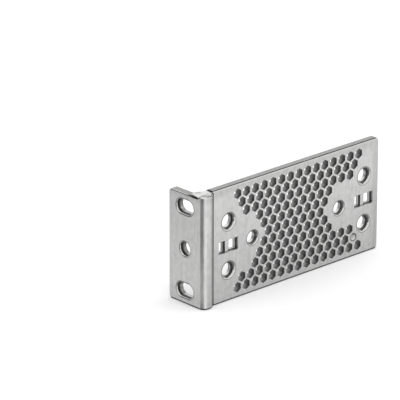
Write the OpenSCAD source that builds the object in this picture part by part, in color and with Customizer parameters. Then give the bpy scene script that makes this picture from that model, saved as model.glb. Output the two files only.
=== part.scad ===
// Rack mount ear bracket, one rack unit high: one solid L-section with a bead along its corner.
// X runs along the plate, Y towards the ear's free end, Z up. It stands on its lower edges.
// The origin is the middle of the footprint's box, at floor level.

/* [Section] */
// Length along the plate, from the ear's front face to the far end
plate_len = 88.5; // [86:0.5:110]
// Length of the ear, from the front of the corner bead to its free end
ear_len = 18.2; // [17.5:0.1:22]
// Thickness of the plate and of the ear
wall = 3; // [2.5:0.1:3.2]
// How far the plate's face lies behind the front of the bead
setback = 1.4; // [1:0.1:1.8]
// Radius of the outside corner
corner_r = 2.4; // [1.5:0.1:2.5]
// Radius that runs from the front of the bead back to the plate
bead_r = 3.5; // [3:0.1:4]
// Where the front of the bead ends and its rear slope begins, from the ear's front face
bead_flat = 2.8; // [2.6:0.1:3.2]
// Radius inside the corner
inner_r = 2.5; // [1:0.1:3]

/* [Outline] */
// Height of the plate, one rack unit less the usual gap
plate_h = 43.6; // [43:0.1:44.4]
// Height of the ear and the bead
ear_h = 42; // [41:0.1:43]
// Radius of the free corners
end_r = 1.5; // [0.8:0.1:2]

/* [Bend top] */
// How far the top has risen above the ear where the inside of the bend meets the plate
rise = 1.4; // [0.6:0.1:1.6]
// Direction in which the top rises, from the plate's length towards the ear's
rise_turn = 25; // [20:1:40]
// Where the rise begins on the ear's face, from the front of the bead
rise_start = 3.4; // [2.6:0.1:4]
// Where the top is back at the ear's height, from the front of the bead
rise_end = 8.4; // [8:0.1:9]
// Angle at which it falls to the ear
fall_angle = 22; // [15:1:30]

/* [Ear holes] */
// Distance between the two rack slots
slot_pitch = 31.75; // [31.5:0.05:32]
// Length of a rack slot, end to end
slot_len = 9.2; // [7:0.1:9.6]
// Height of a rack slot
slot_h = 5.9; // [4.5:0.1:6.4]
// Distance from the ear's free end to the middle of its holes
ear_holes_in = 8.4; // [8:0.1:9]
// Diameter of the ear's middle hole
ear_hole_d = 5.8; // [3:0.1:6.4]
// Width of the broken front rim round the slots and the hole
ear_rim = 0.3; // [0.1:0.1:0.5]

/* [Screw holes] */
// Diameter of the four corner screw holes
screw_d = 6; // [3:0.1:6.2]
// Diameter of their broken front rim
screw_rim_d = 7.3; // [6.8:0.1:7.6]
// Distance between the two corner screw holes of a group, up the plate
screw_pitch = 18.5; // [17.5:0.1:19.5]
// Diameter of the single hole of a group
pilot_d = 5.2; // [3:0.1:5.6]
// Diameter of its broken front rim
pilot_rim_d = 6.3; // [6:0.1:6.6]
// Distance from the ear's front face to the near pair
near_in = 13.3; // [13:0.1:13.8]
// Distance from the near pair to the single hole beside it
near_pilot = 11.8; // [11:0.1:12.6]
// Distance from the far end to the far pair
far_in = 7.4; // [7:0.1:8.4]
// Distance from the far pair to the single hole beside it
far_pilot = 12.8; // [12:0.1:13.4]

/* [Tie windows] */
// Width over both windows of a pair
window_w = 9.7; // [9:0.1:10.4]
// Height of a window
window_h = 5; // [4.2:0.1:6]
// Width of the bar between them
bar_w = 2.2; // [1.8:0.1:2.6]
// Radius along the front of the bar
bar_r = 0.7; // [0.3:0.1:0.9]
// How far the bar lies behind the plate's face
bar_sink = 0.8; // [0.2:0.1:1]

/* [Hexagon field] */
// Distance between hexagons along a row
hex_pitch = 4.32; // [4.2:0.01:4.4]
// Distance from the plate's upper and lower edges to the middle of the outer rows
field_edge = 3.95; // [3.8:0.05:4.2]
// Width of a hexagon across its flats
hex_w = 3.4; // [2.6:0.05:3.5]
// Width of the broken front rim round a hexagon
hex_rim = 0.1; // [0.05:0.05:0.3]
// Distance from the ear's front face to the middle of the first hexagon
field_in = 17.7; // [17.6:0.1:18.2]
// Least distance from the far end to the middle of the last hexagon
field_end = 9; // [9:0.1:10]
// Diameter of the blind dimple that stands in for one hexagon
dimple_d = 3.2; // [2:0.1:3.4]
// Depth of the dimple
dimple_depth = 0.4; // [0.2:0.1:0.8]

/* [Hidden] */
$fn = 64;
eps = 0.01;
// How far a cutter runs past the face it cuts
over = 1;

plate_y = setback;
plate_back = setback + wall;
holes_z = ear_h / 2;
ear_holes_y = ear_len - ear_holes_in;
far_x = plate_len - far_in;
crease_x = bead_flat + sqrt(bead_r * bead_r - (bead_r - setback) * (bead_r - setback));
rise_slope = rise / (crease_x * cos(rise_turn) + (plate_back - rise_start) * sin(rise_turn));

// Hexagons left out at the near and the far end of each row, from the top row down
near_skip = [0, 0, 1, 2, 3, 3, 3, 2, 2, 0, 0];
far_skip  = [0, 0, 1, 3, 4, 4, 4, 3, 1, 1, 0];
rows = len(near_skip);
row_pitch = (plate_h - 2 * field_edge) / (rows - 1);
// Hexagon places in the longest row
cols = 1 + floor((plate_len - field_in - field_end) / hex_pitch);
// Row that holds the dimple, at its first missing hexagon
dimple_row = 9;

// Number of hexagon places in a row: every second row has one less and is shifted by half a pitch
function row_cols(row) = cols - row % 2;
function hex_x(row, col) = field_in + (col + (row % 2) / 2) * hex_pitch;
function hex_z(row) = plate_h - field_edge - row * row_pitch;

// Moves a drawing from the XY plane to the plate's face, with its depth running into the plate
module on_plate(x, z) {
    translate([x, plate_y, z]) rotate([-90, 0, 0]) children();
}

// Moves a drawing from the XY plane to the ear's face, with its depth running into the ear
module on_ear(y, z) {
    translate([0, y, z]) rotate([0, 90, 0]) children();
}

// Outline of the section, seen from above
module section() {
    // Ear and the rounded outside corner
    translate([0, corner_r]) square([wall, ear_len - corner_r]);
    translate([corner_r, corner_r]) circle(r = corner_r);
    translate([corner_r, 0]) square([bead_flat - corner_r, wall]);
    // Bead, running back to the plate on a radius
    intersection() {
        translate([bead_flat, bead_r]) circle(r = bead_r);
        translate([bead_flat - eps, 0]) square([bead_r + eps, plate_back]);
    }
    // Plate
    translate([wall / 2, plate_y + eps]) square([plate_len - wall / 2, wall - eps]);
    // Inside corner
    difference() {
        translate([wall - eps, plate_back - eps]) square(inner_r + eps);
        translate([wall + inner_r, plate_back + inner_r]) circle(r = inner_r);
    }
}

// What a rounded corner takes off a square corner at the origin, turned about it
module corner_cut(turn) {
    rotate([0, 0, turn]) difference() {
        translate([-over, -over, -plate_back]) cube([end_r + over, end_r + over, 3 * plate_back]);
        translate([end_r, end_r, -2 * plate_back]) cylinder(r = end_r, h = 5 * plate_back);
    }
}

// Ear, bead and inside corner are lower than the plate
module ear_top_cut() {
    difference() {
        translate([-over, -over, ear_h]) cube([crease_x + over, ear_len + 2 * over, plate_h]);
        bend_swell();
    }
}

// What stays above the ear's height, where bending swelled the stock inside the corner
module bend_swell() {
    intersection() {
        translate([0, rise_start, ear_h]) rotate([0, 0, rise_turn]) ramp(rise_slope);
        translate([0, rise_end, ear_h]) rotate([0, 0, -90]) ramp(tan(fall_angle));
    }
}

// Wedge that rises along X from the origin at this slope
module ramp(slope) {
    rotate([90, 0, 0]) linear_extrude(2 * ear_len, center = true)
        polygon([[0, -over], [0, 0], [ear_len, slope * ear_len], [ear_len, -over]]);
}

// Through hole whose front rim is broken at 45 degrees, this far out
module rimmed_hole(d, rim, sides = $fn) {
    translate([0, 0, -over]) cylinder(d = d, h = wall + 2 * over, $fn = sides);
    translate([0, 0, -over]) cylinder(d1 = d + 2 * (rim + over), d2 = d, h = rim + over, $fn = sides);
}

// Slot along its local Y axis, with the same broken rim
module rimmed_slot(len, h, rim) {
    run = len - h;
    for (side = [-1, 1])
        translate([0, side * run / 2, 0]) rimmed_hole(h, rim);
    translate([-h / 2, -run / 2, -over]) cube([h, run, wall + 2 * over]);
    wide = h / 2 + rim + over;
    rotate([90, 0, 0]) translate([0, 0, -run / 2]) linear_extrude(run)
        polygon([[-wide, -over], [wide, -over], [h / 2, rim], [-h / 2, rim]]);
}

// Two windows with a rounded bar left between them
module tie_windows() {
    difference() {
        translate([-window_w / 2, -window_h / 2, -over]) cube([window_w, window_h, wall + 2 * over]);
        tie_bar();
    }
}

module tie_bar() {
    length = window_h + 2 * over;
    for (side = [-1, 1])
        translate([side * (bar_w / 2 - bar_r), 0, bar_sink + bar_r])
            rotate([90, 0, 0]) cylinder(r = bar_r, h = length, center = true);
    translate([bar_r - bar_w / 2, -length / 2, bar_sink]) cube([bar_w - 2 * bar_r, length, wall]);
    translate([-bar_w / 2, -length / 2, bar_sink + bar_r]) cube([bar_w, length, wall]);
}

// One group of screw holes and tie windows, with its single hole this far along the plate
module hole_group(x, pilot_x) {
    for (up = [-1, 1])
        on_plate(x, holes_z + up * screw_pitch / 2) rimmed_hole(screw_d, (screw_rim_d - screw_d) / 2);
    on_plate(pilot_x, holes_z) rimmed_hole(pilot_d, (pilot_rim_d - pilot_d) / 2);
    on_plate(x, holes_z) tie_windows();
}

// Hexagons with their points up and down
module hex_field() {
    for (row = [0 : rows - 1])
        for (col = [near_skip[row] : row_cols(row) - 1 - far_skip[row]])
            on_plate(hex_x(row, col), hex_z(row)) rotate([0, 0, 30])
                rimmed_hole(hex_w / cos(30), hex_rim / cos(30), 6);
}

module dimple() {
    ball_r = (dimple_d * dimple_d / 4 + dimple_depth * dimple_depth) / (2 * dimple_depth);
    col = row_cols(dimple_row) - far_skip[dimple_row];
    on_plate(hex_x(dimple_row, col), hex_z(dimple_row))
        translate([0, 0, dimple_depth - ball_r]) sphere(r = ball_r);
}

module bracket() {
    color("silver")
        translate([-plate_len / 2, -ear_len / 2, 0])
            difference() {
                linear_extrude(plate_h) section();
                ear_top_cut();
                on_plate(plate_len, 0) corner_cut(180);
                on_plate(plate_len, plate_h) corner_cut(90);
                on_ear(ear_len, 0) corner_cut(180);
                on_ear(ear_len, ear_h) corner_cut(-90);
                hole_group(near_in, near_in + near_pilot);
                hole_group(far_x, far_x - far_pilot);
                hex_field();
                dimple();
                for (up = [-1, 1])
                    on_ear(ear_holes_y, holes_z + up * slot_pitch / 2) rimmed_slot(slot_len, slot_h, ear_rim);
                on_ear(ear_holes_y, holes_z) rimmed_hole(ear_hole_d, ear_rim);
            }
}

bracket();
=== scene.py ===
import math
from types import SimpleNamespace

import bmesh
import bpy
from bpy.props import FloatProperty, FloatVectorProperty, IntProperty, PointerProperty
from mathutils import Matrix, Vector


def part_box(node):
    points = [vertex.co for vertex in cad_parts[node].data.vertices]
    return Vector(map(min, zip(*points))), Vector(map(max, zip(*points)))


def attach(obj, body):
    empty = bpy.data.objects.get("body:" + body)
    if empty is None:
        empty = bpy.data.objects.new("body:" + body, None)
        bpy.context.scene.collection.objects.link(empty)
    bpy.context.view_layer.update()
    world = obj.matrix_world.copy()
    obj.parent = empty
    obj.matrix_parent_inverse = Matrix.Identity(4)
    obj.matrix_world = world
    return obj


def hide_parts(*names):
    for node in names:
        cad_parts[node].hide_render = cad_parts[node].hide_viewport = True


bl_info = {
    "name": "Rack Ear Bracket",
    "version": (1, 0, 0),
    "blender": (4, 5, 0),
    "location": "View3D > Sidebar > Rack Ear",
    "description": "Builds a vented rack mount ear bracket in satin aluminium, and a plain studio round it",
    "category": "Mesh",
}

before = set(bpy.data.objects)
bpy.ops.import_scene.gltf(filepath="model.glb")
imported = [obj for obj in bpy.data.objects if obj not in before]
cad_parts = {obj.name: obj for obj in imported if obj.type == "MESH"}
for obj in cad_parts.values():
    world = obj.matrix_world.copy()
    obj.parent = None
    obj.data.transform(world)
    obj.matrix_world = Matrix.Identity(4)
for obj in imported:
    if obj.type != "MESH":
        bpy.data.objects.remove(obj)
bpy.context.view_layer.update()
BODY = "root"
NODE = "bracket"
MM = 0.001
# The solid's box in millimetres, in which the mesh tools work best
LOW, HIGH = (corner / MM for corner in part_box(NODE))

# Material slots of the bracket: the rolled sheet, the rims that the punch rolled over, the sheared walls of the
# large openings and those of the hexagons, which are painted dark as shade, and the line where a rim starts, painted
# dark as shade
SHEET, RIM, WALL, VENT, ARRIS = range(5)
# Hexagons left out at the near and the far end of each row, from the top row down
NEAR_SKIP = (0, 0, 1, 2, 3, 3, 3, 2, 2, 0, 0)
FAR_SKIP = (0, 0, 1, 3, 4, 4, 4, 3, 1, 1, 0)
# Row whose first missing far hexagon is only a blind dimple
DIMPLE_ROW = 9
# The dimple's rings from its edge inwards: width for its diameter, and fall for its depth
DIMPLE_RINGS = ((0.12, 0.4), (0.09, 0.25), (0.1, 0.25), (0.1, 0.1))


def size(name, text, default_mm, **more):
    """A length that the user can change, given here in millimetres."""
    return FloatProperty(name=name, description=text, default=default_mm * MM, min=0.0, subtype="DISTANCE",
                         unit="LENGTH", precision=5, **more)


def turn(name, text, default_degrees):
    return FloatProperty(name=name, description=text, default=math.radians(default_degrees), subtype="ANGLE",
                         unit="ROTATION")


def share(name, text, default, low=0.0, high=1.0):
    return FloatProperty(name=name, description=text, default=default, min=low, max=high, subtype="FACTOR")


def colour(name, text, default):
    return FloatVectorProperty(name=name, description=text, default=default, size=3, min=0.0, max=1.0, subtype="COLOR")


class BracketSizes(bpy.types.PropertyGroup):
    wall: size("Wall", "Thickness of the plate and of the ear", 3.0)
    setback: size("Setback", "How far the plate's face lies behind the front of the bead", 1.4)
    corner_r: size("Corner radius", "Radius of the outside corner", 2.4)
    bead_flat: size("Bead flat", "Where the rear slope of the bead begins, from the ear's face", 2.8)
    bead_r: size("Bead radius", "Radius that runs from the front of the bead back to the plate", 3.5)
    ear_h: size("Ear height", "Height of the ear and the bead", 42.0)
    rise_turn: turn("Rise direction", "Way the bend's top rises, from the plate's length towards the ear's", 25.0)
    rise_start: size("Rise start", "Where the rise begins on the ear's face, from the front of the bead", 3.4)
    rise_end: size("Rise end", "Where the top is back at the ear's height, from the front of the bead", 8.4)
    fall: turn("Fall", "Angle at which the rise falls back to the ear", 22.0)
    collar: size("Collar", "How far the bend's front stands above the ear", 0.7)
    collar_end: size("Collar end", "Where that starts on the ear's face, from the front of the bead", 3.1)
    end_r: size("End radius", "Radius of the free corners", 1.5)
    front_r: size("Front edge radius", "Rounding along the outer edges in front, where the blank was rolled over", 0.5)
    back_r: size("Back edge radius", "Rounding along the outer edges behind", 0.2)
    slot_pitch: size("Slot pitch", "Distance between the two rack slots", 31.75)
    slot_len: size("Slot length", "Length of a rack slot, where it is narrowest", 8.4)
    slot_h: size("Slot height", "Height of a rack slot, where it is narrowest", 5.1)
    ear_holes_in: size("Ear hole inset", "From the ear's free end to the middle of its holes", 8.4)
    ear_hole_d: size("Ear hole", "Diameter of the ear's middle hole", 5.0)
    ear_rim: size("Ear rim", "Width of the rolled rim round the ear's openings", 0.5)
    screw_d: size("Screw hole", "Diameter of the corner screw holes", 5.2)
    screw_rim: size("Screw rim", "Width of the rolled rim round the corner screw holes", 0.85)
    screw_pitch: size("Screw pitch", "Distance between the screw holes of a group", 18.5)
    pilot_d: size("Single hole", "Diameter of the single hole of a group", 4.8)
    pilot_rim: size("Single rim", "Width of the rolled rim round the single hole", 0.55)
    near_in: size("Near holes", "From the ear's face to the near pair of screw holes", 13.3)
    near_pilot: size("Near single", "From the near pair to its single hole", 11.8)
    far_in: size("Far holes", "From the far end to the far pair of screw holes", 7.4)
    far_pilot: size("Far single", "From the far pair to its single hole", 12.8)
    window_w: size("Window width", "Width over both windows of a pair", 9.7)
    window_h: size("Window height", "Height of a window", 5.0)
    window_rim: size("Window rim", "Rounding round a pair of windows", 0.15)
    bar_w: size("Bar width", "Width of the bar between two windows", 2.2)
    bar_r: size("Bar radius", "Radius along the front of the bar", 0.7)
    bar_sink: size("Bar depth", "How far the bar lies behind the plate's face", 0.8)
    hex_pitch: size("Hexagon pitch", "Distance between hexagons along a row", 4.32)
    hex_w: size("Hexagon width", "Width of a hexagon across its flats", 3.4)
    hex_r: size("Hexagon corner", "Radius in the corners of a hexagon", 0.15)
    hex_rim: size("Hexagon rim", "Rounding round a hexagon", 0.1)
    field_in: size("Field inset", "From the ear's face to the middle of the first hexagon", 17.7)
    field_end: size("Field end", "Least distance from the far end to the last hexagon", 9.0)
    field_edge: size("Field edge", "From the plate's edges to the middle of the outer rows", 3.95)
    dimple_d: size("Dimple", "Diameter of the blind dimple", 3.2)
    dimple_depth: size("Dimple depth", "Depth of the blind dimple", 0.4)
    edge_steps: IntProperty(name="Edge steps", description="Faces across a rounded edge", default=4, min=1, max=8)
    # The arris is a dark line painted round the rolled rims, as painted shade
    arris: size("Arris", "Width of the dull line round a rolled rim", 0.2)
    rim_depth: FloatProperty(name="Rim depth", description="How deep the round rims reach, for their width",
                             default=1.7, min=0.5, max=2.0, subtype="FACTOR")
    rim_steps: IntProperty(name="Rim steps", description="Faces across a rounded rim", default=6, min=1, max=12)
    vent_steps: IntProperty(name="Vent rim steps", description="Faces across a hexagon's rim", default=2, min=1, max=4)
    round_steps: IntProperty(name="Hole steps", description="Faces round a hole", default=48, min=12, max=128)


def in_mm(group):
    """The group's numbers, with its lengths in millimetres."""
    plain = SimpleNamespace()
    for prop in group.bl_rna.properties:
        if prop.type in ("FLOAT", "INT"):
            value = getattr(group, prop.identifier)
            setattr(plain, prop.identifier, value / MM if prop.unit == "LENGTH" else value)
    return plain


class Outline:
    """Traces a closed outline in the XY plane with straight and round strokes."""

    def __init__(self, bm, start):
        self.bm = bm
        self.first = self.last = bm.verts.new((*start, LOW.z))

    def line(self, x, y):
        new = bmesh.ops.extrude_vert_indiv(self.bm, verts=[self.last])["verts"][0]
        new.co = (x, y, LOW.z)
        self.last = new
        return new

    def arc(self, x, y, degrees, steps):
        made = bmesh.ops.spin(self.bm, geom=[self.last], cent=(x, y, LOW.z), axis=(0, 0, 1),
                              angle=math.radians(degrees), steps=steps)
        self.last = only(bmesh.types.BMVert, made["geom_last"])[0]
        return self.last

    def close(self):
        self.bm.edges.new((self.last, self.first))
        bmesh.ops.contextual_create(self.bm, geom=self.bm.edges[:])


def bevel(bm, edges, radius, steps):
    """Rounds the edges and returns the new faces."""
    return bmesh.ops.bevel(bm, geom=edges, offset=radius, offset_type="OFFSET", segments=steps, profile=0.5,
                           affect="EDGES", clamp_overlap=True, material=-1)["faces"]


def angle_across(edge):
    return edge.calc_face_angle_signed(0.0)


def whole(faces):
    """The faces with their edges and corners, each once."""
    return list({g for f in faces for g in (f, *f.edges, *f.verts)})


def only(kind, geom):
    return [g for g in geom if isinstance(g, kind)]


def raise_faces(bm, faces, height):
    """Extrudes the faces upwards as one region and returns the new top faces."""
    made = bmesh.ops.extrude_face_region(bm, geom=whole(faces))["geom"]
    bmesh.ops.translate(bm, verts=only(bmesh.types.BMVert, made), vec=(0, 0, height))
    return only(bmesh.types.BMFace, made)


class Layout:
    """Where things lie on the bracket, in the row frame."""

    def __init__(self, s):
        self.s = s
        self.face_y = LOW.y + s.setback
        self.back_y = self.face_y + s.wall
        self.face_x = LOW.x
        self.holes_z = LOW.z + s.ear_h / 2
        self.ear_y = HIGH.y - s.ear_holes_in
        self.near_x = LOW.x + s.near_in
        self.far_x = HIGH.x - s.far_in
        rise = s.bead_r - s.setback
        self.slope = math.acos(rise / s.bead_r)
        self.crease_x = LOW.x + s.bead_flat + s.bead_r * math.sin(self.slope)
        length = HIGH.x - LOW.x
        self.cols = 1 + math.floor((length - s.field_in - s.field_end) / s.hex_pitch)
        self.row_step = (HIGH.z - LOW.z - 2 * s.field_edge) / (len(NEAR_SKIP) - 1)

    def on_plate(self, x, z):
        """Turns the XY plane onto the plate's face: X along the plate, Y up, Z out of it."""
        return Matrix.Translation((x, self.face_y, z)) @ Matrix.Rotation(math.radians(90), 4, "X")

    def on_ear(self, y, z):
        """Turns the XY plane onto the ear's face: X towards the corner, Y up, Z out of it."""
        turn = Matrix.Rotation(math.radians(-90), 4, "Z") @ Matrix.Rotation(math.radians(90), 4, "X")
        return Matrix.Translation((self.face_x, y, z)) @ turn

    def hexagon(self, row, col):
        x = LOW.x + self.s.field_in + (col + row % 2 / 2) * self.s.hex_pitch
        return self.on_plate(x, HIGH.z - self.s.field_edge - row * self.row_step)

    def hexagons(self):
        for row, (near, far) in enumerate(zip(NEAR_SKIP, FAR_SKIP)):
            for col in range(near, self.cols - row % 2 - far):
                yield self.hexagon(row, col)

    def dimple(self):
        return self.hexagon(DIMPLE_ROW, self.cols - DIMPLE_ROW % 2 - FAR_SKIP[DIMPLE_ROW])


def shell(bm, s, at):
    """The solid L with its bead and roundings, before anything is punched."""
    x0, y0 = LOW.x, LOW.y
    out = Outline(bm, (x0, HIGH.y))
    out.line(x0, y0 + s.corner_r)
    out.arc(x0 + s.corner_r, y0 + s.corner_r, 90, 10)
    out.line(x0 + s.bead_flat, y0)
    crease = out.arc(x0 + s.bead_flat, y0 + s.bead_r, math.degrees(at.slope), 9)
    out.line(HIGH.x, at.face_y)
    out.line(HIGH.x, at.back_y)
    inner = out.line(at.crease_x, at.back_y)
    inner_r = at.crease_x - x0 - s.wall
    out.arc(at.crease_x, at.back_y + inner_r, -90, 8)
    out.line(x0 + s.wall, HIGH.y)
    out.close()
    bmesh.ops.connect_verts(bm, verts=[crease, inner])
    plate_top = max(raise_faces(bm, bm.faces[:], s.ear_h), key=lambda f: f.calc_center_median().x)
    raise_faces(bm, [plate_top], HIGH.z - LOW.z - s.ear_h)
    bmesh.ops.recalc_face_normals(bm, faces=bm.faces[:])
    flat = [e for e in bm.edges if len(e.link_faces) == 2 and abs(angle_across(e)) < 1e-4]
    bmesh.ops.dissolve_edges(bm, edges=flat, use_verts=True)
    free = [e for e in bm.edges if is_free_corner(e)]
    bevel(bm, free, s.end_r, 8)
    sharp = [e for e in bm.edges if angle_across(e) > math.radians(50) and not on_step(e, at)]
    front = [e for e in sharp if any(min(f.normal.x, f.normal.y) < -0.5 for f in e.link_faces)]
    back = [e for e in sharp if e not in front]
    paint(bevel(bm, front, s.front_r, s.edge_steps), RIM)
    paint(bevel(bm, [e for e in back if e.is_valid], s.back_r, s.edge_steps), RIM)
    swell(bm, s, at)


def swell(bm, s, at):
    """Raises the bend's top, where bending swelled the stock inside the corner, as far as the plate's top."""
    way = Vector((math.cos(s.rise_turn), math.sin(s.rise_turn), 0))
    start = Vector((LOW.x, LOW.y + s.rise_start, 0))
    end = Vector((LOW.x, LOW.y + s.rise_end, 0))
    top = LOW.z + s.ear_h
    up = way * (HIGH.z - top) / (Vector((at.crease_x, at.back_y, 0)) - start).dot(way)
    down = Vector((0, -math.tan(s.fall), 0))

    def moves(v):
        return -s.front_r - 1e-3 < v.co.z - top < 1e-3 and v.co.x < at.crease_x + 1e-3

    # The rise and the fall meet where both are as high, and the collar ends where the rise has passed it
    meet = start.lerp(end, down.dot(start - end) / (up - down).dot(end - start))
    passed = start + up * s.collar / up.length_squared
    foot, brow = (Vector((LOW.x, LOW.y + y, 0)) for y in (s.collar_end, s.collar_end - s.collar))
    faces = [f for f in bm.faces if all(moves(v) for v in f.verts)]
    for place, across in ((start, up), (meet, up - down), (end, down), (passed, up), (foot, down), (brow, down)):
        cut = bmesh.ops.bisect_plane(bm, geom=whole(faces), plane_co=place, plane_no=across)
        faces = only(bmesh.types.BMFace, cut["geom"])
    for v in filter(moves, bm.verts):
        here = Vector((v.co.x, v.co.y, 0))
        inside = min(1.0, (v.co.x - LOW.x) / s.front_r)
        collar = min(s.collar, foot.y - v.co.y)
        v.co.z += max(0.0, collar, inside * min(up.dot(here - start), down.dot(here - end)))
    # The step ends in a point at the back
    bmesh.ops.remove_doubles(bm, verts=bm.verts[:], dist=1e-3)


def on_step(edge, at):
    """The low step from the bend's top up to the plate's top."""
    return all(abs(v.co.x - at.crease_x) < 1e-3 for v in edge.verts)


def is_free_corner(edge):
    """The corners of the plate's far end and of the ear's free end, seen on their faces."""
    a, b = (v.co for v in edge.verts)
    run = (b - a).normalized()
    far = abs(run.y) > 0.99 and min(a.x, b.x) > HIGH.x - 1
    ear = abs(run.x) > 0.99 and min(a.y, b.y) > HIGH.y - 1
    return far or ear


def take_face(bm, normal, height):
    """Removes the largest flat face that looks this way at this height, and returns its outline."""
    axis = Vector(normal)
    facing = [f for f in bm.faces
              if f.normal.dot(axis) > 0.999 and abs(f.calc_center_median().dot(axis) - height) < 1e-3]
    face = max(facing, key=lambda f: f.calc_area())
    edges = face.edges[:]
    bmesh.ops.delete(bm, geom=[face], context="FACES_ONLY")
    return edges


def cap(bm, place, radius, centres, steps):
    """A face round whose corners lie about the centres, one for each equal part of a turn from local +X."""
    half = Matrix.Rotation(math.pi / steps, 4, "Z")
    ring = bmesh.ops.create_circle(bm, cap_ends=True, radius=radius, segments=steps, matrix=half)["verts"]
    for v in ring:
        turn = math.atan2(v.co.y, v.co.x) % math.tau
        v.co += Vector((*centres[int(turn / math.tau * len(centres))], 0))
    bmesh.ops.transform(bm, matrix=place, verts=ring)
    return ring[0].link_faces[0]


def step_in(bm, faces, narrower, deeper):
    """One ring of faces inside each face, which moves into the sheet. Returns the ring."""
    return bmesh.ops.inset_individual(bm, faces=faces, thickness=narrower, depth=-deeper, use_even_offset=True)["faces"]


def outside(faces):
    """The edges of new faces that nothing is joined to yet."""
    return [e for f in faces for e in f.edges if e.is_boundary]


def sink(bm, faces, rim, steps, deep=1.0):
    """Rolls the edge of each face over into the sheet on a quarter ellipse. Returns its outline in front."""
    front = []
    for step in range(steps):
        a, b = (math.pi / 2 * k / steps for k in (step, step + 1))
        ring = step_in(bm, faces, rim * (math.sin(b) - math.sin(a)), rim * deep * (math.cos(a) - math.cos(b)))
        paint(ring, RIM)
        front = front or outside(ring)
    return front


def paint(faces, slot):
    for f in faces:
        f.material_index = slot


def around(faces):
    """The faces that share an edge with these."""
    return {near for f in faces for e in f.edges for near in e.link_faces} - set(faces)


def push(bm, faces, vec):
    """Pulls walls from these faces and returns the faces at their far end."""
    made = bmesh.ops.extrude_discrete_faces(bm, faces=faces)["faces"]
    bmesh.ops.translate(bm, verts=list({v for f in made for v in f.verts}), vec=vec)
    return made


def open_ends(bm, faces):
    edges = [e for f in faces for e in f.edges]
    bmesh.ops.delete(bm, geom=faces, context="FACES_ONLY")
    return edges


def punch(bm, faces, rim, deep, steps, wall, arris=0.0, zone=WALL):
    """Through openings with a rolled front rim, inside a flat arris where that has a width.

    Returns their outlines in front and behind.
    """
    inward = -faces[0].normal.copy()
    line = step_in(bm, faces, arris, 0.0) if arris else []
    # The flat ring round a rim is painted dark, as painted shade
    paint(line, ARRIS)
    line_front = outside(line)
    rim_front = sink(bm, faces, rim, steps, deep)
    ends = push(bm, faces, inward * (wall - rim * deep))
    paint(around(ends), zone)
    return line_front or rim_front, open_ends(bm, ends)


def punch_windows(bm, face, s):
    """Two windows with a rounded bar between them, set behind the face."""
    inward = -face.normal.copy()
    front = sink(bm, [face], s.window_rim, s.edge_steps)
    floor = push(bm, [face], inward * (s.bar_sink - s.window_rim))
    paint(around(floor), WALL)
    middle = floor[0].calc_center_median()
    for side in (-1, 1):
        cut = middle + Vector((side * s.bar_w / 2, 0, 0))
        made = bmesh.ops.bisect_plane(bm, geom=whole(floor), plane_co=cut, plane_no=(1, 0, 0))
        floor = only(bmesh.types.BMFace, made["geom"])
    windows = [f for f in floor if abs(f.calc_center_median().x - middle.x) > s.bar_w / 2]
    ends = push(bm, windows, inward * (s.wall - s.bar_sink))
    paint(around(ends), WALL)
    back = open_ends(bm, ends)
    bar = min((f for f in bm.faces if f not in windows), key=lambda f: (f.calc_center_median() - middle).length)
    sides = [e for e in bar.edges if abs((e.verts[0].co - e.verts[1].co).normalized().z) > 0.99]
    bevel(bm, sides, s.bar_r, 5)
    return front, back


def fill(bm, edges, normal):
    bmesh.ops.triangle_fill(bm, use_beauty=True, use_dissolve=False, edges=edges, normal=normal)


def punch_plate(bm, s, at):
    front = take_face(bm, (0, -1, 0), -at.face_y)
    back = take_face(bm, (0, 1, 0), at.back_y)
    round_hole = [(0, 0)]
    screws = [cap(bm, at.on_plate(x, at.holes_z + side * s.screw_pitch / 2), s.screw_d / 2 + s.screw_rim + s.arris,
                  round_hole, s.round_steps) for x in (at.near_x, at.far_x) for side in (-1, 1)]
    singles = [cap(bm, at.on_plate(x, at.holes_z), s.pilot_d / 2 + s.pilot_rim + s.arris, round_hole, s.round_steps)
               for x in (at.near_x + s.near_pilot, at.far_x - s.far_pilot)]
    flats = s.hex_w / 2 + s.hex_rim
    corner = (flats - s.hex_r - s.hex_rim) / math.cos(math.radians(30))
    ways = [math.radians(30 + 60 * k) for k in range(6)]
    tips = [(corner * math.cos(way), corner * math.sin(way)) for way in ways]
    vents = [cap(bm, place, s.hex_r + s.hex_rim, tips, 12) for place in at.hexagons()]
    for faces, rim, deep, steps, arris, zone in ((screws, s.screw_rim, s.rim_depth, s.rim_steps, s.arris, WALL),
                                                 (singles, s.pilot_rim, s.rim_depth, s.rim_steps, s.arris, WALL),
                                                 (vents, s.hex_rim, 1.0, s.vent_steps, 0.0, VENT)):
        a, b = punch(bm, faces, rim, deep, steps, s.wall, arris, zone)
        front += a
        back += b
    w, h, r = s.window_w / 2, s.window_h / 2, s.window_rim * 2
    for x in (at.near_x, at.far_x):
        corners = [(w - r, h - r), (r - w, h - r), (r - w, r - h), (w - r, r - h)]
        a, b = punch_windows(bm, cap(bm, at.on_plate(x, at.holes_z), r, corners, 16), s)
        front += a
        back += b
    dent = cap(bm, at.dimple(), s.dimple_d / 2, round_hole, 32)
    rings = [step_in(bm, [dent], s.dimple_d * width, s.dimple_depth * fall) for width, fall in DIMPLE_RINGS]
    front += outside(rings[0])
    # The dimple's outer ring is painted dark, as painted shade
    paint(rings[0], ARRIS)
    paint([dent, *rings[2], *rings[3]], RIM)
    fill(bm, front, (0, -1, 0))
    fill(bm, back, (0, 1, 0))


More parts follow.
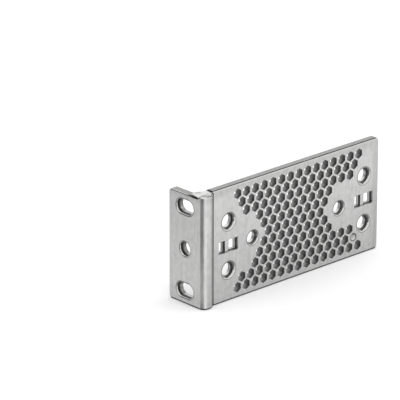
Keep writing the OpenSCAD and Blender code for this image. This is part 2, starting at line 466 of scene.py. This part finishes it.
def punch_ear(bm, s, at):
    front = take_face(bm, (-1, 0, 0), -at.face_x)
    back = take_face(bm, (1, 0, 0), at.face_x + s.wall)
    run = (s.slot_len - s.slot_h) / 2
    # A quarter turn of the circle goes with each end, so the straight sides stay level
    ends = [(run, 0), (-run, 0), (-run, 0), (run, 0)]
    slots = [cap(bm, at.on_ear(at.ear_y, at.holes_z + side * s.slot_pitch / 2), s.slot_h / 2 + s.ear_rim + s.arris,
                 ends, s.round_steps) for side in (-1, 1)]
    hole = cap(bm, at.on_ear(at.ear_y, at.holes_z), s.ear_hole_d / 2 + s.ear_rim + s.arris, [(0, 0)], s.round_steps)
    a, b = punch(bm, [*slots, hole], s.ear_rim, s.rim_depth, s.rim_steps, s.wall, s.arris)
    fill(bm, front + a, (-1, 0, 0))
    fill(bm, back + b, (1, 0, 0))


def note_depth(bm, s, at):
    """Writes how deep each point lies in the sheet, from 0 in front to 1 behind."""
    layer = bm.verts.layers.float.new("depth")
    for v in bm.verts:
        # The ear's shorter rims put its dark band nearer to the front; the light back of its walls is partly burnish
        # and partly painted light
        deep = (v.co.x - at.face_x) * 1.5 if v.co.y > at.back_y + 1 else v.co.y - at.face_y
        v[layer] = min(max(deep / s.wall, 0.0), 1.0)


class RACK_OT_ear_bracket(bpy.types.Operator):
    """Add the bracket, punched and rounded, in place of its plain solid"""
    bl_idname = "rack.ear_bracket"
    bl_label = "Ear Bracket"
    bl_options = {"REGISTER", "UNDO"}

    def execute(self, context):
        s = in_mm(context.scene.bracket_sizes)
        at = Layout(s)
        bm = bmesh.new()
        shell(bm, s, at)
        punch_plate(bm, s, at)
        punch_ear(bm, s, at)
        bmesh.ops.recalc_face_normals(bm, faces=bm.faces[:])
        loose = [e for e in bm.edges if len(e.link_faces) != 2]
        if loose:
            raise RuntimeError(f"the bracket has {len(loose)} open edges")
        note_depth(bm, s, at)
        bmesh.ops.scale(bm, vec=(MM, MM, MM), verts=bm.verts[:])
        for f in bm.faces:
            f.smooth = True
        mesh = bpy.data.meshes.new("ear_bracket")
        bm.to_mesh(mesh)
        bm.free()
        mesh.set_sharp_from_angle(angle=math.radians(38))
        look = context.scene.bracket_finish
        for zone in (satin_sheet, rolled_rim, sheared_wall, vent_wall, dark_arris):
            mesh.materials.append(zone(look))
        piece = bpy.data.objects.new("ear_bracket", mesh)
        context.scene.collection.objects.link(piece)
        even = piece.modifiers.new("Even shading", "WEIGHTED_NORMAL")
        even.keep_sharp = True
        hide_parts(NODE)
        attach(piece, BODY)
        return {"FINISHED"}


class Wire:
    """A number that flows between nodes. Sums, products and differences of wires add their Math nodes."""

    def __init__(self, maker, socket):
        self.maker = maker
        self.socket = socket

    def maths(self, operation, *values):
        return self.maker.wire("ShaderNodeMath", {"operation": operation}, dict(enumerate(values)))

    def __add__(self, other):
        return self.maths("ADD", self, other)

    __radd__ = __add__

    def __sub__(self, other):
        return self.maths("SUBTRACT", self, other)

    def __rsub__(self, other):
        return self.maths("SUBTRACT", other, self)

    def __mul__(self, other):
        return self.maths("MULTIPLY", self, other)

    __rmul__ = __mul__

    def __truediv__(self, other):
        return self.maths("DIVIDE", self, other)

    def within(self, low, high):
        """0 below low, 1 above high and smooth between them."""
        return self.maker.wire("ShaderNodeMapRange", {"interpolation_type": "SMOOTHSTEP"}, {0: self, 1: low, 2: high})


class NodeMaker:
    """Makes the nodes of one tree."""

    def __init__(self, tree):
        self.tree = tree
        tree.nodes.clear()

    def node(self, kind, settings=None, sockets=None):
        made = self.tree.nodes.new(kind)
        for name, value in (settings or {}).items():
            setattr(made, name, value)
        for key, value in (sockets or {}).items():
            if isinstance(value, Wire):
                self.tree.links.new(value.socket, made.inputs[key])
            else:
                made.inputs[key].default_value = value
        return made

    def wire(self, kind, settings=None, sockets=None, output=0):
        return Wire(self, self.node(kind, settings, sockets).outputs[output])


def grey(tone):
    return (tone, tone, tone, 1.0)


class Alloy:
    """The look that all the bracket's surfaces share, on one material."""

    def __init__(self, name):
        self.material = bpy.data.materials.new(name)
        self.material.use_nodes = True
        self.make = NodeMaker(self.material.node_tree)
        self.where = self.make.wire("ShaderNodeTexCoord", output="Object")

    def noise(self, scale, detail=2.0, stretch=(1.0, 1.0, 1.0)):
        """Noise about zero, from -0.5 to 0.5, drawn out along an axis by a stretch below 1."""
        drawn = self.make.wire("ShaderNodeMapping", sockets={"Vector": self.where, "Scale": stretch})
        sockets = {"Vector": drawn, "Scale": scale, "Detail": detail}
        return self.make.wire("ShaderNodeTexNoise", sockets=sockets) - 0.5

    def depth(self):
        """How deep the surface lies in the sheet: 0 in front, 1 at the back."""
        return self.make.wire("ShaderNodeAttribute", {"attribute_name": "depth"}, output="Fac")

    def torn_and_shaded(self):
        """The dark band in an opening's wall between the rolled rim and the back: partly the fracture from the punch,
        partly painted shade.
        """
        deep = self.depth() + self.noise(700.0, 3.0) * 0.15
        return deep.within(0.04, 0.36) * (1.0 - deep.within(0.5, 0.72))

    def tinted(self, tint, tone):
        """The tint, darkened or lightened by a wire."""
        level = self.make.wire("ShaderNodeCombineColor", sockets={0: tone, 1: tone, 2: tone})
        settings = {"data_type": "RGBA", "blend_type": "MULTIPLY"}
        return self.make.wire("ShaderNodeMix", settings, {0: 1.0, 6: (*tint, 1.0), 7: level}, 2)

    def finish(self, tint, roughness, relief, depth):
        """Joins the shader: metal with this tint and roughness, and a relief this deep in metres."""
        bump = self.make.wire("ShaderNodeBump", sockets={"Strength": 1.0, "Distance": depth, "Height": relief})
        shader = self.make.wire("ShaderNodeBsdfPrincipled", sockets={
            "Base Color": tint, "Metallic": 1.0, "Roughness": roughness, "Normal": bump})
        self.make.node("ShaderNodeOutputMaterial", sockets={"Surface": shader})
        return self.material


def satin_sheet(look):
    """Rolled sheet with a fine upright grain and a faint mottling, and painted shade along its upper and far edges, at
    its foot and along the bead's crease.
    """
    alloy = Alloy("satin_sheet")
    grain = alloy.noise(1500.0, 3.0, (1.0, 1.0, 0.08))
    cloud = alloy.noise(500.0, 5.0)
    place = alloy.make.node("ShaderNodeSeparateXYZ", sockets={"Vector": alloy.where})
    across, up = (Wire(alloy.make, place.outputs[axis]) for axis in ("X", "Z"))
    inner = up.maths("MINIMUM", HIGH.z * MM - up, HIGH.x * MM - across)
    # Painted shade: the sheet is darker along its upper and far edges
    edge_shade = 1.0 - inner.within(look.edge_shade_w * 0.3, look.edge_shade_w)
    # Painted shade: the sheet is darker at the foot it stands on
    foot = 1.0 - up.within(look.foot_shade_w * 0.4, look.foot_shade_w)
    # Painted shade: a dark line along the bead's crease
    off = across - (LOW.x * MM + look.crease_x)
    painted_shade = 1.0 - off.maths("ABSOLUTE", off).within(look.crease_w * 0.4, look.crease_w)
    tone = (1.0 + grain * look.grain + cloud * look.cloud) * (1.0 - painted_shade * look.painted_shade) * (1.0 - edge_shade * look.edge_shade)
    tone = tone * (1.0 - foot * look.foot)
    return alloy.finish(alloy.tinted(look.metal, tone), look.roughness + grain * 0.12 + cloud * 0.1, grain, 2e-6)


def rolled_rim(look):
    """Edge that the punch pulled over: smoother and lighter than the sheet, with painted shade at the foot, along the
    plate's top and in the walls' dark band.
    """
    alloy = Alloy("rolled_rim")
    wear = alloy.noise(1500.0, 2.0)
    up = alloy.make.wire("ShaderNodeSeparateXYZ", sockets={"Vector": alloy.where}, output="Z")
    # Painted shade: the rims are darker at the foot
    foot = 1.0 - up.within(look.foot_shade_w * 0.6, look.foot_shade_w * 1.2)
    # Painted shade: the roundings along the plate's top are darker where they start
    crest_shade = up.within(HIGH.z * MM - look.crest_w, HIGH.z * MM - look.crest_w * 0.5)
    tone = (1.0 + wear * 0.15) * (1.0 - alloy.torn_and_shaded() * look.tear_and_shade)
    tone = tone * (1.0 - foot * look.foot) * (1.0 - crest_shade * look.crest_shade)
    return alloy.finish(alloy.tinted(look.rim, tone), look.rim_roughness + wear * 0.1, wear, 2e-6)


def dark_arris(look):
    """Start of a rim: a line painted dark, as painted shade round the rim."""
    alloy = Alloy("dark_arris")
    wear = alloy.noise(1200.0, 2.0)
    return alloy.finish(alloy.tinted(look.arris, 1.0 + wear * 0.3), look.roughness + wear * 0.1, wear, 2e-6)


def sheared_wall(look):
    """Wall of a punched opening: a dark band after the rim, partly the fracture and partly painted shade, then lighter
    towards the back, partly burnish and partly painted light.
    """
    alloy = Alloy("sheared_wall")
    torn_and_shaded = alloy.torn_and_shaded()
    grit = alloy.noise(3500.0, 3.0)
    burr = alloy.depth().within(0.84, 0.94)
    tone = (1.0 - torn_and_shaded * look.tear_and_shade) * (1.0 - burr * look.burr) * (1.0 + grit * 0.3)
    return alloy.finish(alloy.tinted(look.sheared, tone), look.sheared_roughness + torn_and_shaded * 0.15, grit, 1e-5)


def vent_wall(look):
    """Wall of a hexagon: painted dark as the shade inside it, and painted lighter towards the back."""
    alloy = Alloy("vent_wall")
    grit = alloy.noise(2500.0, 3.0)
    tone = (0.5 + alloy.depth().within(0.15, 0.75) * 0.5) * (1.0 + grit * 0.3)
    return alloy.finish(alloy.tinted(look.vent, tone), look.sheared_roughness + 0.1, grit, 1e-5)


class BracketFinish(bpy.types.PropertyGroup):
    metal: colour("Metal", "Colour of the rolled sheet", (0.66, 0.66, 0.655))
    roughness: share("Roughness", "How matt the sheet is", 0.33)
    grain: share("Grain", "Strength of the fine upright grain", 0.35)
    cloud: share("Cloud", "Strength of the mottling", 0.4)
    # The dark line along the bead's crease is painted shade
    crease_x: size("Crease", "Distance from the ear's face to the dark line along the bead's crease", 5.6)
    crease_w: size("Crease width", "Half the width of that line", 0.7)
    painted_shade: share("Crease shade", "How much darker that line is than the sheet", 0.92)
    # Painted shade along the sheet's upper and far edges
    edge_shade: share("Shaded edge", "How much duller the sheet is along its upper and far edges", 0.15)
    edge_shade_w: size("Shaded edge width", "How far in from those edges the sheet is duller", 4.5)
    # Painted shade at the foot, where the bracket meets the floor
    foot: share("Foot grime", "How much darker the edges it stands on are", 0.88)
    foot_shade_w: size("Foot grime width", "How far that reaches up the faces", 0.85)
    # Painted shade where the roundings along the plate's top start
    crest_shade: share("Crest", "How much darker the roundings along the plate's top are where they start", 0.7)
    crest_w: size("Crest width", "How far down that reaches", 0.25)
    rim: colour("Rim", "Colour of the rolled rims", (0.66, 0.66, 0.655))
    rim_roughness: share("Rim roughness", "How matt the rolled rims are", 0.13)
    # Colour of the painted line of shade round the rims
    arris: colour("Arris", "Colour of the line where a rim starts", (0.14, 0.14, 0.14))
    # The hexagons' walls are painted dark as the shade inside them
    vent: colour("Hexagon wall", "Colour of the hexagons' walls", (0.3, 0.3, 0.298))
    # Lighter than the sheet: partly burnish, partly painted light
    sheared: colour("Sheared wall", "Colour of the punched walls", (0.8, 0.8, 0.795))
    sheared_roughness: share("Sheared roughness", "How matt the punched walls are", 0.4)
    # The dark band in the walls is partly the fracture, partly painted shade
    tear_and_shade: share("Tear", "How much darker the torn band of a punched wall is", 0.88)
    burr: share("Burr", "How much darker the wall is where the punch broke out behind", 0.2)


class StageLook(bpy.types.PropertyGroup):
    azimuth: turn("Azimuth", "Direction the camera looks from, about the upright", -42.665)
    elevation: turn("Elevation", "How far the camera stands above the horizon", 21.015)
    distance: size("Distance", "From the camera to the point it looks at", 1300.0)
    lens: FloatProperty(name="Lens", description="Focal length in millimetres", default=328.86, min=10.0)
    aim: FloatVectorProperty(name="Aim", description="Point the camera looks at", size=3, subtype="XYZ", unit="LENGTH",
                             default=(-0.03213, 0.00596, 0.03492))
    ceiling: share("Ceiling", "Brightness of the studio's ceiling", 1.05, high=2.0)
    paper: share("Paper", "How pale the floor is", 0.9)
    lift: share("Lift", "How much the floor is lifted towards white for the camera", 0.12)
    key: FloatProperty(name="Key light", description="Power of the large soft light, in watts", default=4.3, min=0.0,
                       subtype="POWER", unit="POWER")
    box_side: size("Softbox side", "Length of that light's sides", 1200.0)
    box_place: FloatVectorProperty(name="Softbox place", description="Where that light hangs", size=3, subtype="XYZ",
                                   unit="LENGTH", default=(0.2, -0.35, 1.2))
    through: share("Through", "How much of the room the metal sees through the floor", 0.8)
    # Painted shade in what the metal sees through the floor at the foot
    foot: share("Foot", "How much darker that is at the bracket's foot", 0.36)
    beside_ear: share("Beside the ear", "How much less of it the low parts of the ear see", 0.35)


# Cards round the bracket, seen only in the metal: direction from +X and half width in degrees (180 is all round),
# sine of the lower and of the upper edge's elevation, and how much of the room's light they leave
CARDS = (
    (189, 35, -1.2, 0.0, 0.01),
    (252, 14, -1.2, 0.0, 1.25),
    (149, 5, -1.2, -0.1, 1.25),
    (120, 24, -1.2, -0.1, 0.67),
    (48, 55, -1.2, 0.05, 0.25),
    (0, 180, -1.2, -0.62, 0.08),
    (6, 28, 0.4, 0.85, 0.03),
    (136, 14, -0.2, 0.55, 0.06),
    (75, 50, 0.05, 0.5, 0.5),
    (62, 14, 0.6, 0.9, 1.6),
    (-40, 24, 0.0, 0.8, 0.9),
)


def stage_material(name, shader):
    """A material whose shader the function makes."""
    material = bpy.data.materials.new(name)
    material.use_nodes = True
    make = NodeMaker(material.node_tree)
    make.node("ShaderNodeOutputMaterial", sockets={"Surface": shader(make)})
    return material


def stage_piece(context, name, bm, material):
    mesh = bpy.data.meshes.new(name)
    bm.to_mesh(mesh)
    bm.free()
    mesh.materials.append(material)
    piece = bpy.data.objects.new(name, mesh)
    context.scene.collection.objects.link(piece)
    return piece


def band(wire, low, high, soft):
    """1 between low and high, 0 outside, with soft ends."""
    return wire.within(low - soft, low + soft) * (1.0 - wire.within(high - soft, high + soft))


def add_floor(context, look):
    """White paper that keeps the shadows. The metal sees the room through a part of it."""
    def paper(make):
        rays = make.node("ShaderNodeLightPath")
        seen, mirrored = (Wire(make, rays.outputs[name]) for name in ("Is Camera Ray", "Is Glossy Ray"))
        lift = make.wire("ShaderNodeEmission", sockets={"Color": grey(look.lift), "Strength": seen})
        lit = make.wire("ShaderNodeBsdfDiffuse", sockets={"Color": grey(look.paper)})
        lifted = make.wire("ShaderNodeAddShader", sockets={0: lit, 1: lift})
        place = make.node("ShaderNodeSeparateXYZ", sockets={0: make.wire("ShaderNodeTexCoord", output="Object")})
        x, y = (Wire(make, place.outputs[axis]) for axis in ("X", "Y"))
        # What the low parts of the plate mirror is painted darker, as painted shade at the foot, and the low parts of
        # the ear mirror more of the paper
        beside = LOW.x * MM - x
        away = beside.maths("MAXIMUM", beside, LOW.y * MM - y)
        shade = 1.0 - look.foot * (1.0 - away.within(-0.01, 0.1)) * (1.0 - beside.within(-0.004, 0.0))
        near_ear = beside.within(0.003, 0.01) * (1.0 - beside.within(0.01, 0.06))
        level = make.wire("ShaderNodeCombineColor", sockets={0: shade, 1: shade, 2: shade})
        clear = make.wire("ShaderNodeBsdfTransparent", sockets={"Color": level})
        share_clear = mirrored * (look.through - near_ear * look.beside_ear)
        return make.wire("ShaderNodeMixShader", sockets={0: share_clear, 1: lifted, 2: clear})

    bm = bmesh.new()
    bmesh.ops.create_grid(bm, x_segments=1, y_segments=1, size=3.0)
    stage_piece(context, "floor", bm, stage_material("white_paper", paper))


def add_world(context, look):
    """A soft room whose dark and bright cards give the metal's edges their lines. The camera sees only white."""
    world = bpy.data.worlds.new("studio")
    context.scene.world = world
    world.use_nodes = True
    make = NodeMaker(world.node_tree)
    parts = make.node("ShaderNodeSeparateXYZ", sockets={0: make.wire("ShaderNodeTexCoord", output="Generated")})
    x, y, up = (Wire(make, parts.outputs[axis]) for axis in ("X", "Y", "Z"))
    level = (x * x + y * y).maths("POWER", x * x + y * y, 0.5)
    rays = make.node("ShaderNodeLightPath")
    seen, mirrored = (Wire(make, rays.outputs[name]) for name in ("Is Camera Ray", "Is Glossy Ray"))

    def card(middle, half, low, high, change):
        """What a card leaves of the room's light: it stands this way from +X, between two heights."""
        soft = 4
        side = (x * math.cos(math.radians(middle)) + y * math.sin(math.radians(middle))) / level
        inner, outer = (math.cos(math.radians(angle)) for angle in (half - soft, half + soft))
        across = 1.0 if half == 180 else side.within(outer, inner)
        return 1.0 + band(up, low, high, 0.04) * across * (change - 1.0)

    room = look.ceiling
    for place in CARDS:
        room = room * card(*place)
    soft = up.within(0.1, 0.6) * (look.ceiling * 0.75) + look.ceiling * 0.25
    light = soft + mirrored * (room - soft)
    air = make.wire("ShaderNodeBackground", sockets={"Color": grey(1.0), "Strength": seen + (1.0 - seen) * light})
    make.node("ShaderNodeOutputWorld", sockets={"Surface": air})


def area_light(context, name, power, side, place, aim):
    data = bpy.data.lights.new(name, "AREA")
    data.shape = "RECTANGLE"
    data.energy = power
    data.size = data.size_y = side
    lamp = bpy.data.objects.new(name, data)
    lamp.location = place
    lamp.rotation_euler = (Vector(aim) - Vector(place)).to_track_quat("-Z", "Y").to_euler()
    # The metal sees the room in place of the lamp's hard square
    lamp.visible_glossy = False
    context.scene.collection.objects.link(lamp)


def add_camera(context, look):
    camera = bpy.data.objects.new("camera", bpy.data.cameras.new("camera"))
    context.scene.collection.objects.link(camera)
    a, e = look.azimuth, look.elevation
    back = Vector((math.sin(a) * math.cos(e), -math.cos(a) * math.cos(e), math.sin(e)))
    camera.location = Vector(look.aim) + back * look.distance
    camera.rotation_euler = (-back).to_track_quat("-Z", "Y").to_euler()
    camera.data.lens = look.lens
    camera.data.sensor_width = 36.0
    camera.data.clip_end = 10.0
    context.scene.camera = camera


class RACK_OT_stage(bpy.types.Operator):
    """Add the pale floor, the soft lights and the camera"""
    bl_idname = "rack.stage"
    bl_label = "Stage"
    bl_options = {"REGISTER", "UNDO"}

    def execute(self, context):
        look = context.scene.stage_look
        add_floor(context, look)
        add_world(context, look)
        # High up and a little in front, so that the shadow stays close round the foot
        area_light(context, "softbox", look.key, look.box_side, look.box_place, (0.0, 0.0, 0.02))
        add_camera(context, look)
        context.scene.view_settings.view_transform = "Standard"
        return {"FINISHED"}


class RACK_PT_panel(bpy.types.Panel):
    """The sizes, the finish and the buttons that build the bracket and its stage"""
    bl_idname = "RACK_PT_panel"
    bl_label = "Rack Ear"
    bl_space_type = "VIEW_3D"
    bl_region_type = "UI"
    bl_category = "Rack Ear"

    def draw(self, context):
        scene = context.scene
        for operator, group in ((RACK_OT_ear_bracket, scene.bracket_sizes), (None, scene.bracket_finish),
                                (RACK_OT_stage, scene.stage_look)):
            box = self.layout.box()
            if operator:
                box.operator(operator.bl_idname)
            for prop in group.bl_rna.properties:
                if prop.identifier not in {"rna_type", "name"}:
                    box.prop(group, prop.identifier)


CLASSES = (BracketSizes, BracketFinish, StageLook, RACK_OT_ear_bracket, RACK_OT_stage, RACK_PT_panel)


def register():
    for cls in CLASSES:
        bpy.utils.register_class(cls)
    bpy.types.Scene.bracket_sizes = PointerProperty(type=BracketSizes)
    bpy.types.Scene.bracket_finish = PointerProperty(type=BracketFinish)
    bpy.types.Scene.stage_look = PointerProperty(type=StageLook)


def unregister():
    del bpy.types.Scene.stage_look
    del bpy.types.Scene.bracket_finish
    del bpy.types.Scene.bracket_sizes
    for cls in reversed(CLASSES):
        bpy.utils.unregister_class(cls)


def main():
    register()
    bpy.ops.rack.ear_bracket()
    bpy.ops.rack.stage()


if __name__ == "__main__":
    main()
